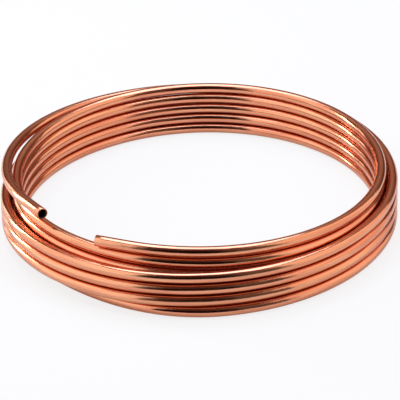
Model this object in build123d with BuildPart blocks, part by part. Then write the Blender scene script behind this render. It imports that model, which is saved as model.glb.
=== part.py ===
# A coil of soft copper tube: one length, wound in two layers and lying on its flat side.
# Sizes are in millimetres. The coil lies round Z, the floor is Z = 0 and the front is toward -Y.
# Angles are in degrees round Z from +X. They count on past 360 as the tube winds on, anticlockwise
# seen from above: down through the inner layer, across on the floor, then up the outer layer.

import math
import os

from build123d import *

# The tube
tube_diameter = 10.0
wall_thickness = 0.7
end_chamfer = 0.2
straight_run = 30.0  # straight length left at each free end

# The two layers
inner_radius = 170.9  # centreline of the inner layer
out_of_round = 2.0  # the loops are drawn out this far along one diagonal
layer_clearance = 0.8  # free space between the two layers
turn_clearance = 0.5  # free space between a turn and the one above it
lean = 0.148  # the stack leans back by this share of its height
lean_middle = 24.5  # height of the tube where a turn is centred on Z
inner_levels = 5  # pitches from the floor up to the start

# Where in each turn the tube changes level, and where it crosses to the outer layer
start_angle = 249.0
drop_from, drop_to = 225.0, 360.0
climb_from, climb_to = 90.0, 270.0
crossing_from = 225.0 + 360.0 * inner_levels
crossing_to = crossing_from + 50.0
end_angle = 210.0 + 360.0 * 9

# The first end has sprung up and out a little. The last turn has sprung up, and its end is bent in
start_lift = 0.4
start_spread = 2.4
start_sprung_angle = 60.0
end_lift = 17.2
lifted_angle = 270.0
end_tuck = 4.3
tucked_angle = 75.0

# Angle spanned by each arc of the path, with shorter arcs where the radius changes
arc_step = 15.0
crossing_step = 5.0

# Sizes that follow
tube_radius = tube_diameter / 2
turn_pitch = tube_diameter + turn_clearance
layer_pitch = tube_diameter + layer_clearance


def ease(share):
    """A smooth step from 0 to 1, flat at both ends."""
    share = min(max(share, 0.0), 1.0)
    return share * share * (3.0 - 2.0 * share)


def steps_made(angle, zone_from, zone_to):
    """Steps of one pitch made by this angle, one in each turn between the two zone angles."""
    turns = math.floor((angle - zone_from) / 360.0)
    return turns + ease((angle - zone_from - 360.0 * turns) / (zone_to - zone_from))


def near_tip(past_tip, span):
    """0 until this many degrees before a tip of the tube, then growing as a square to 1 at the tip."""
    return max(past_tip + span, 0.0) ** 2 / span**2


def centre(angle):
    """The middle of the tube at one angle along its path."""
    if angle < crossing_from:
        level = inner_levels - steps_made(angle, drop_from, drop_to)
    else:
        level = steps_made(angle, climb_from, climb_to) - inner_levels - 1
    height = tube_radius + turn_pitch * max(level, 0.0)
    height += start_lift * near_tip(start_angle - angle, start_sprung_angle)
    height += end_lift * near_tip(angle - end_angle, lifted_angle)
    crossed = ease((angle - crossing_from) / (crossing_to - crossing_from))
    turn = math.radians(angle)
    radius = inner_radius + layer_pitch * crossed + out_of_round * math.sin(2 * turn)
    radius += start_spread * near_tip(start_angle - angle, start_sprung_angle)
    radius -= end_tuck * near_tip(angle - end_angle, tucked_angle)
    back = lean * (height - lean_middle)
    return Vector(radius * math.cos(turn), radius * math.sin(turn) + back, height)


def stations():
    """The angles after the start at which one arc of the path meets the next."""
    angle = start_angle
    while angle < end_angle:
        step = crossing_step if crossing_from <= angle < crossing_to else arc_step
        angle = (angle // step + 1) * step
        yield angle


# The tube is swept along a straight run, tangent arcs round every turn, and a second straight run
with BuildPart() as copper_tube:
    with BuildLine() as winding:
        heading = (centre(start_angle + 0.1) - centre(start_angle - 0.1)).normalized()
        run = Line(centre(start_angle) - heading * straight_run, centre(start_angle))
        for angle in stations():
            run = TangentArc(run @ 1, centre(angle), tangent=run % 1)
        Line(run @ 1, run @ 1 + (run % 1) * straight_run)
    path = winding.wire()
    with BuildSketch(Plane(path @ 0, z_dir=path % 0)):
        Circle(tube_radius)
        Circle(tube_radius - wall_thickness, mode=Mode.SUBTRACT)
    sweep(path=path)
    cut_ends = copper_tube.faces().filter_by(GeomType.PLANE)
    chamfer([face.outer_wire().edge() for face in cut_ends], end_chamfer)
copper_tube.part.label = "copper_tube"

section_area = math.pi * wall_thickness * (tube_diameter - wall_thickness)
print("length", round(path.length), "volume", round(copper_tube.part.volume))
print("section times length", round(section_area * path.length))

os.makedirs("parts", exist_ok=True)
export_step(copper_tube.part, "parts/copper_tube.step")
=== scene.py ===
# %% [markdown]
# A coil of soft copper tube, as a plumber buys it: one length of bright drawn tube, wound in two
# layers and lying on its flat side. The imported model is loaded first and fixes where everything is.
# The piece made here has to stay inside it.

# %% Load the frame
import bisect
import math

import bmesh
import bpy
from mathutils import Matrix, Vector


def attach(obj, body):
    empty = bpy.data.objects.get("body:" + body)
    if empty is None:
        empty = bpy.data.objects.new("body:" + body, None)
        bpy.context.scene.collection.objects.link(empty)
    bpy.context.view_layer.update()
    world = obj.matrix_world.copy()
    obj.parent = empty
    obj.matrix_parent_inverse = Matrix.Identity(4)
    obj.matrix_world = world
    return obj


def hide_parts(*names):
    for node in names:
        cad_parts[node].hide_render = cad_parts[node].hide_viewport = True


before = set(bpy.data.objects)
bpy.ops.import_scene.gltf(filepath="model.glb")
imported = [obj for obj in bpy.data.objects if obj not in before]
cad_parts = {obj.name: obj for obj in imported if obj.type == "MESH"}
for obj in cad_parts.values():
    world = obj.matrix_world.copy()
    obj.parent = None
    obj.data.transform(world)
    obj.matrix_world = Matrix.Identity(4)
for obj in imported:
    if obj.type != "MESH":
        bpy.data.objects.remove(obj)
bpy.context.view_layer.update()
scene = bpy.context.scene
scene.view_settings.view_transform = "Standard"

# %% [markdown]
# The camera comes first, so that every later step can be compared with the photograph. It stands
# nearly two metres off, in front and above, with a long lens, and it is tipped a little to one
# side. A long lens from far away keeps the near and far side of the coil almost the same size.

# %% Set up the camera
camera_distance = 1.8135
camera_height_angle = math.radians(29.02)
camera_tip = math.radians(-1.22)
camera_target = Vector((0.0002, -0.0029, 0.0149))
sensor_width, lens_length = 36.0, 172.52  # millimetres

camera = bpy.data.objects.new("camera", bpy.data.cameras.new("camera"))
camera.data.sensor_width = sensor_width
camera.data.lens = lens_length
raised = Matrix.Rotation(math.pi / 2 - camera_height_angle, 4, "X")
tipped = Matrix.Rotation(camera_tip, 4, "Z")
drawn_back = Matrix.Translation((0, 0, camera_distance))
camera.matrix_world = Matrix.Translation(camera_target) @ raised @ tipped @ drawn_back
scene.collection.objects.link(camera)
scene.camera = camera
print("the camera stands at", [round(value, 3) for value in camera.matrix_world.translation])

# %% [markdown]
# The real tube leaves the mill straight and is then wound, and it is made in that order here. The
# path of its middle could be drawn by hand as a curve. A formula is used instead, because the
# turns keep their spacing exactly: the tube runs down through the inner layer one turn at a time,
# crosses on the floor, climbs the outer layer, and its last turn has sprung up. The turns nearly
# touch, and the stack leans back a little, as loose turns slide when a coil is laid down.

# %% Describe the winding
tube_radius = 0.005
wall_thickness = 0.0007
straight_run = 0.030  # straight length left at each free end
inner_radius = 0.1709  # middle of the tube in the inner layer
layer_pitch = 0.0108  # from the inner layer out to the outer one
turn_pitch = 0.0105  # from one turn up to the next
lean = 0.148  # the stack leans back by this share of its height
lean_middle = 0.0245  # height of the tube where a turn is centred on Z
out_of_round = 0.0020  # the loops are drawn out along one diagonal
inner_levels = 5  # pitches from the floor up to the start

# Angles are in degrees round Z from +X, and they count on past 360 as the tube winds on
start_angle = 249.0
drop_from, drop_to = 225.0, 360.0
climb_from, climb_to = 90.0, 270.0
crossing_from = 225.0 + 360.0 * inner_levels
crossing_to = crossing_from + 50.0
end_angle = 210.0 + 360.0 * 9

# How far the first end has sprung up and out, and how far the last turn has sprung up and in
start_lift, start_spread, start_sprung_angle = 0.0004, 0.0024, 60.0
end_lift, lifted_angle = 0.0172, 270.0
end_tuck, tucked_angle = 0.0043, 75.0


def ease(share):
    """A smooth step from 0 to 1, flat at both ends."""
    share = min(max(share, 0.0), 1.0)
    return share * share * (3.0 - 2.0 * share)


def steps_made(angle, zone_from, zone_to):
    """Steps of one pitch made by this angle, one in each turn between the two zone angles."""
    turns = math.floor((angle - zone_from) / 360.0)
    return turns + ease((angle - zone_from - 360.0 * turns) / (zone_to - zone_from))


def near_tip(past_tip, span):
    """0 until this many degrees before a tip of the tube, then growing as a square to 1 at the tip."""
    return max(past_tip + span, 0.0) ** 2 / span**2


def centre(angle):
    """The middle of the tube at one angle along its path."""
    if angle < crossing_from:
        level = inner_levels - steps_made(angle, drop_from, drop_to)
    else:
        level = steps_made(angle, climb_from, climb_to) - inner_levels - 1
    height = tube_radius + turn_pitch * max(level, 0.0)
    height += start_lift * near_tip(start_angle - angle, start_sprung_angle)
    height += end_lift * near_tip(angle - end_angle, lifted_angle)
    crossed = ease((angle - crossing_from) / (crossing_to - crossing_from))
    turn = math.radians(angle)
    radius = inner_radius + layer_pitch * crossed + out_of_round * math.sin(2 * turn)
    radius += start_spread * near_tip(start_angle - angle, start_sprung_angle)
    radius -= end_tuck * near_tip(angle - end_angle, tucked_angle)
    back = lean * (height - lean_middle)
    return Vector((radius * math.cos(turn), radius * math.sin(turn) + back, height))


sample_count = 6000  # short lengths in which the path is measured
angles = [start_angle + (end_angle - start_angle) * i / sample_count for i in range(sample_count + 1)]
reached = [0.0]
for here, there in zip(angles, angles[1:]):
    reached.append(reached[-1] + (centre(there) - centre(here)).length)
wound_length = reached[-1]
tube_length = wound_length + 2 * straight_run
print("the tube is", round(tube_length, 3), "m long, with", round(wound_length, 3), "m of it wound")

# %% [markdown]
# The straight tube starts as its cross-section: a disc, inset by the wall thickness, with the
# middle taken out. Extruding that ring once along Z draws it out to the full length, as the mill
# draws the tube through a die, and cutting its long edges gives it the short lengths that let it
# bend. A small bevel takes the sharp edge off the outside of the two cut ends.

# %% Draw the straight tube
ring_sides = 30
ring_count = 1300  # short lengths that the tube is cut into
end_chamfer = 0.0002
end_tolerance = 1e-4  # a corner this near to a cut end lies on it
wall_middle = tube_radius - wall_thickness / 2
cm3_per_m3 = 1e6

tube = bmesh.new()
bmesh.ops.create_circle(tube, cap_ends=True, segments=ring_sides, radius=tube_radius)
middle = tube.faces[:]
bmesh.ops.inset_region(
    tube, faces=middle, thickness=wall_thickness, use_boundary=True, use_even_offset=True
)
bmesh.ops.delete(tube, geom=middle, context="FACES_ONLY")
drawn = bmesh.ops.extrude_face_region(tube, geom=tube.faces[:])["geom"]
far_ring = [item for item in drawn if isinstance(item, bmesh.types.BMVert)]
bmesh.ops.translate(tube, vec=(0, 0, tube_length), verts=far_ring)
long_edges = [edge for edge in tube.edges if edge.calc_length() > tube_length / 2]
bmesh.ops.subdivide_edges(tube, edges=long_edges, cuts=ring_count - 1)


def at_outer_rim(edge):
    """Whether an edge lies on the outside of one of the two cut ends."""
    at_end = all(min(v.co.z, tube_length - v.co.z) < end_tolerance for v in edge.verts)
    return at_end and all(v.co.xy.length > wall_middle for v in edge.verts)


outer_rims = [edge for edge in tube.edges if at_outer_rim(edge)]
bmesh.ops.bevel(
    tube, geom=outer_rims, offset=end_chamfer, affect="EDGES", segments=1, profile=0.5, material=-1
)
bmesh.ops.recalc_face_normals(tube, faces=tube.faces)
metal = tube.calc_volume(signed=True) * cm3_per_m3
print("the straight tube has", len(tube.faces), "faces and holds", round(metal, 1), "cm3 of copper")

# %% [markdown]
# Each corner of the straight tube now remembers where it was, as an attribute. The finish reads
# that later, so that its drawn lines follow the tube round every turn. Then each ring of corners
# is carried to its place on the path, turned so that it stays square to the tube. The long faces
# are shaded smooth and the cut ends flat, and the faces of the bore take a finish of their own.

# %% Wind the tube into the coil
outside_finish, bore_finish = 0, 1
heading_step = 0.1  # degrees to either side, between which the heading is taken
for face in tube.faces:
    face.smooth = abs(face.normal.z) < 0.5
    in_bore = face.smooth and face.calc_center_median().xy.length < wall_middle
    face.material_index = bore_finish if in_bore else outside_finish

straight = tube.verts.layers.float_vector.new("straight")
rings = {}
for vertex in tube.verts:
    vertex[straight] = vertex.co
    rings.setdefault(round(vertex.co.z, 4), []).append(vertex)


def place(run):
    """The matrix that carries the section at one distance along the straight tube into the coil."""
    wound = min(max(run - straight_run, 0.0), wound_length)
    after = min(max(bisect.bisect(reached, wound), 1), sample_count)
    share = (wound - reached[after - 1]) / (reached[after] - reached[after - 1])
    angle = angles[after - 1] + share * (angles[after] - angles[after - 1])
    heading = (centre(angle + heading_step) - centre(angle - heading_step)).normalized()
    inward = Vector((0, 0, 1)).cross(heading).normalized()
    turned = Matrix((inward, heading.cross(inward), heading)).transposed().to_4x4()
    spot = centre(angle) + heading * (run - straight_run - wound)
    return Matrix.Translation(spot) @ turned @ Matrix.Translation((0, 0, -run))


for run, ring in rings.items():
    carried = place(run)
    for vertex in ring:
        vertex.co = carried @ vertex.co

coil = bpy.data.objects.new("copper_coil", bpy.data.meshes.new("copper_coil"))
tube.to_mesh(coil.data)
tube.free()
scene.collection.objects.link(coil)
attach(coil, "root")
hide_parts("copper_tube")
triangles = sum(len(polygon.vertices) - 2 for polygon in coil.data.polygons)
print("the coil has", len(rings), "rings and", triangles, "triangles")

# %% [markdown]
# The finishes are made of nodes. Each node could be set up on lines of its own. A few small
# functions keep that short instead: one turns a colour code into the colour that a shader takes,
# one adds a node with its settings and links, and one draws noise that is stretched along the
# straight tube, so that its sizes are real ones.

# %% Write the helpers for the finishes
def linear(code):
    """A colour written as an sRGB hex code, as the linear colour that a shader takes."""
    parts = [int(code[i : i + 2], 16) / 255 for i in (1, 3, 5)]
    return [p / 12.92 if p <= 0.04045 else ((p + 0.055) / 1.055) ** 2.4 for p in parts] + [1.0]


def add_node(tree, kind, links=(), stops=(), **settings):
    """Adds a node with its links (input, node, output), its settings by name, and a ramp's stops."""
    node = tree.nodes.new(kind)
    for name, value in settings.items():
        if hasattr(node, name):
            setattr(node, name, value)
        else:
            node.inputs[name.replace("_", " ")].default_value = value
    for socket, source, output in links:
        tree.links.new(source.outputs[output], node.inputs[socket])
    for position, code in stops[1:-1]:
        node.color_ramp.elements.new(position)
    for number, (position, code) in enumerate(stops):
        node.color_ramp.elements[number].position = position
        node.color_ramp.elements[number].color = linear(code)
    return node


def new_material(name):
    """An empty material, and its node tree."""
    material = bpy.data.materials.new(name)
    material.use_nodes = True
    material.node_tree.nodes.clear()
    return material, material.node_tree


def patches(tree, across, along, detail):
    """Noise on the straight tube, with patches of these sizes in metres across and along it."""
    where = add_node(tree, "ShaderNodeAttribute", attribute_name="straight")
    sized = add_node(
        tree,
        "ShaderNodeMapping",
        [("Vector", where, "Vector")],
        Scale=(1 / across, 1 / across, 1 / along),
    )
    return add_node(
        tree,
        "ShaderNodeTexNoise",
        [("Vector", sized, "Vector")],
        Scale=1.0,
        Detail=detail,
        Roughness=0.5,
    )


pale_copper = "#F7B48A"
print("pale copper in linear light is", [round(part, 3) for part in linear(pale_copper)[:3]])

# %% [markdown]
# Soft copper tube is drawn bright and then annealed in a furnace without air. That leaves a
# smooth pink metal with faint lines along it and soft patches of a browner tone, and winding adds
# small ripples. Where two turns nearly touch, the colour is painted darker. This is painted shade for
# the dark line between the turns, and how dark it is comes from how close the next turn is.

# %% Colour the bright outside
bright_copper, tree = new_material("bright_annealed_copper")

# Soft patches of a browner tone, so that no two turns look quite alike
tone = patches(tree, across=0.006, along=0.090, detail=2.0)
tone_ramp = add_node(
    tree, "ShaderNodeValToRGB", [("Fac", tone, "Fac")], stops=[(0.30, "#EA9A78"), (0.70, pale_copper)]
)

# Painted shade beside the next turn, which deepens the dark line between the turns
closeness = add_node(tree, "ShaderNodeAmbientOcclusion", samples=8, only_local=True, Distance=0.004)
painted_shade = add_node(
    tree, "ShaderNodeValToRGB", [("Fac", closeness, "AO")], stops=[(0.10, "#D0907A"), (0.60, "#FFFFFF")]
)
# The tone, darkened by the painted shade beside the next turn
tone_with_painted_shade = add_node(
    tree,
    "ShaderNodeVectorMath",
    [(0, tone_ramp, "Color"), (1, painted_shade, "Color")],
    operation="MULTIPLY",
)

# Lines from the drawing die, which streak the highlights. Real ones are hundredths of a
# millimetre wide and would not show at this size, so they are drawn coarser
lines = patches(tree, across=0.0012, along=0.060, detail=3.0)
streaks = add_node(
    tree, "ShaderNodeValToRGB", [("Fac", lines, "Fac")], stops=[(0.32, "#EADCD6"), (0.58, "#FFFFFF")]
)
# The drawn lines, laid over the tone that carries the painted shade between the turns
streaked_with_painted_shade = add_node(
    tree,
    "ShaderNodeVectorMath",
    [(0, tone_with_painted_shade, "Vector"), (1, streaks, "Color")],
    operation="MULTIPLY",
)
print(bright_copper.name, "has", len(tree.nodes), "nodes for its colour")

# %% [markdown]
# The shape of the highlights matters as much as the colour. The drawn lines make the metal a
# little duller and rougher in streaks, and the ripples bend what it mirrors, so the highlights
# get uneven edges. Bumps do that without adding any corners to the mesh.

# %% Polish the bright outside
# A smooth metal, duller where a drawn line runs
gloss = add_node(
    tree,
    "ShaderNodeMapRange",
    [("Value", lines, "Fac")],
    From_Min=0.3,
    From_Max=0.7,
    To_Min=0.11,
    To_Max=0.24,
)

# Ripples from the winding, which give the highlights uneven edges
ripple = patches(tree, across=0.012, along=0.022, detail=1.0)
ripple_bump = add_node(
    tree, "ShaderNodeBump", [("Height", ripple, "Fac")], Strength=1.0, Distance=0.0004
)
line_bump = add_node(
    tree,
    "ShaderNodeBump",
    [("Height", lines, "Fac"), ("Normal", ripple_bump, "Normal")],
    Strength=1.0,
    Distance=0.00002,
)
surface = add_node(
    tree,
    "ShaderNodeBsdfPrincipled",
    [
        ("Base Color", streaked_with_painted_shade, "Vector"),
        ("Roughness", gloss, "Result"),
        ("Normal", line_bump, "Normal"),
    ],
    Metallic=1.0,
)
add_node(tree, "ShaderNodeOutputMaterial", [("Surface", surface, "BSDF")])
coil.data.materials.append(bright_copper)
print(bright_copper.name, "has", len(tree.nodes), "nodes in all")

# %% [markdown]
# Nobody polishes the inside of a tube, so the bore is duller than the outside. Its colour is
# painted almost black, as painted shade for the dark inside that can be seen at the open end.

# %% Make the dull bore
painted_bore_shade, tree = new_material("dull_bore_painted_shade")

# Patches in the near-black painted shade of the bore, which keep it from looking like plain paint
bore_patches = patches(tree, across=0.003, along=0.020, detail=3.0)
# Painted shade: the bore's colour is kept near black to stand for the shade inside the tube
bore_shade_ramp = add_node(
    tree, "ShaderNodeValToRGB", [("Fac", bore_patches, "Fac")], stops=[(0.35, "#1C120E"), (0.65, "#35231B")]
)
surface = add_node(
    tree, "ShaderNodeBsdfPrincipled", [("Base Color", bore_shade_ramp, "Color")], Roughness=0.6
)
add_node(tree, "ShaderNodeOutputMaterial", [("Surface", surface, "BSDF")])
coil.data.materials.append(painted_bore_shade)
print(painted_bore_shade.name, "has", len(tree.nodes), "nodes")

# %% [markdown]
# The coil lies on a plain white floor. It is large enough that its edge stays out of view, and it
# takes the soft shadow that shows where the lowest turns touch it. More light would whiten it, but
# that would bleach the copper too. So the floor glows for the camera, and less for what the tube
# mirrors.

# %% Lay the floor
floor_half = 10.0
camera_share = 0.80  # how far the floor glows for the camera, where 1 would hide the shadow
mirrored_share = 0.15  # how far it glows for what the tube mirrors

slab = bmesh.new()
bmesh.ops.create_grid(slab, x_segments=1, y_segments=1, size=floor_half)
floor = bpy.data.objects.new("floor", bpy.data.meshes.new("floor"))
slab.to_mesh(floor.data)
slab.free()
scene.collection.objects.link(floor)

# Rolled matt paint, which gives no highlight and only takes the shadow
matt_white, tree = new_material("matt_white_paint")
paint = add_node(tree, "ShaderNodeBsdfPrincipled", Base_Color=linear("#F5F4F2"), Roughness=0.9)
glow = add_node(tree, "ShaderNodeEmission", Color=linear("#FFFFFF"), Strength=1.0)
ray = add_node(tree, "ShaderNodeLightPath")
mirrored = add_node(tree, "ShaderNodeMath", [(0, ray, "Is Glossy Ray")], operation="MULTIPLY")
mirrored.inputs[1].default_value = mirrored_share
whiteness = add_node(
    tree,
    "ShaderNodeMath",
    [(0, ray, "Is Camera Ray"), (2, mirrored, "Value")],
    operation="MULTIPLY_ADD",
)
whiteness.inputs[1].default_value = camera_share
surface = add_node(
    tree,
    "ShaderNodeMixShader",
    [("Fac", whiteness, "Value"), (1, paint, "BSDF"), (2, glow, "Emission")],
)
add_node(tree, "ShaderNodeOutputMaterial", [("Surface", surface, "Shader")])
floor.data.materials.append(matt_white)
print("the floor is", 2 * floor_half, "m wide")

# %% [markdown]
# Polished metal shows the room more than its own colour, so the lights are placed for what the
# tube mirrors. A wide soft box overhead draws the pale line along each turn, and tall ones on the
# left and right fill the coil with copper colour. A faint one at the right front softens the edge
# of the dark, and two narrow strips at the left and back make the sparkle at the back right and the
# white streaks at the left. Nothing stands in front, and the dark there gives the deep bands on the
# front turns.

# %% Light the studio
tall = 3.6  # height of the soft boxes that stand on the floor
tall_middle = (0.0, 0.0, tall / 2)
below_overhead = (0.0, 0.45, 0.0)
cool, warm = "#CCE0FF", "#FFF2EA"


def soft_box(name, stand, toward, width, height, glow, tint="#FFFFFF"):
    """A soft box that looks this bright when it is mirrored, where 1 is white."""
    lamp = bpy.data.objects.new(name, bpy.data.lights.new(name, "AREA"))
    lamp.data.shape = "RECTANGLE"
    lamp.data.size = width
    lamp.data.size_y = height
    lamp.data.color = linear(tint)[:3]
    lamp.data.energy = math.pi * width * height * glow
    lamp.visible_camera = False
    aim = (Vector(toward) - Vector(stand)).to_track_quat("-Z", "Y")
    lamp.matrix_world = Matrix.Translation(stand) @ aim.to_matrix().to_4x4()
    scene.collection.objects.link(lamp)


soft_box("overhead", (0.0, 0.45, 1.6), below_overhead, width=1.4, height=1.4, glow=3.8, tint=cool)
soft_box("left_front", (-1.68, -1.09, tall / 2), tall_middle, width=1.75, height=tall, glow=1.15)
soft_box("left_side", (-1.97, 0.31, tall / 2), tall_middle, width=1.4, height=tall, glow=1.2)
soft_box("right_side", (2.0, -0.1, tall / 2), tall_middle, width=3.0, height=tall, glow=1.05, tint=warm)
soft_box("right_front", (1.18, -1.62, tall / 2), tall_middle, width=1.0, height=tall, glow=0.10, tint=warm)
soft_box("left_back", (-1.34, 1.14, 0.35), (0.0, 0.0, 0.35), width=0.20, height=0.7, glow=2.4)
soft_box("left_strip", (-1.40, 0.69, 0.50), (0.0, 0.0, 0.50), width=0.15, height=1.0, glow=13.0)

# %% [markdown]
# The rest of the room is mirrored too. One even grey would make the copper look flat, so the room
# is nearly black in front and a warm brown behind and above.

# %% Shade the room
lit_side = (0.0, 0.6, 0.8)  # back and up, where the room is lightest
room_tones = [(0.0, "#140A08"), (0.7, "#6A4A42"), (1.0, "#B0968C")]

studio = bpy.data.worlds.new("studio")
studio.use_nodes = True
tree = studio.node_tree
tree.nodes.clear()
seen = add_node(tree, "ShaderNodeTexCoord")
facing = add_node(
    tree, "ShaderNodeVectorMath", [(0, seen, "Generated")], operation="DOT_PRODUCT"
)
facing.inputs[1].default_value = lit_side
room = add_node(tree, "ShaderNodeValToRGB", [("Fac", facing, "Value")], stops=room_tones)
sky = add_node(tree, "ShaderNodeBackground", [("Color", room, "Color")], Strength=1.0)
add_node(tree, "ShaderNodeOutputWorld", [("Surface", sky, "Background")])
scene.world = studio
print("the room is shaded by", len(room_tones), "tones")
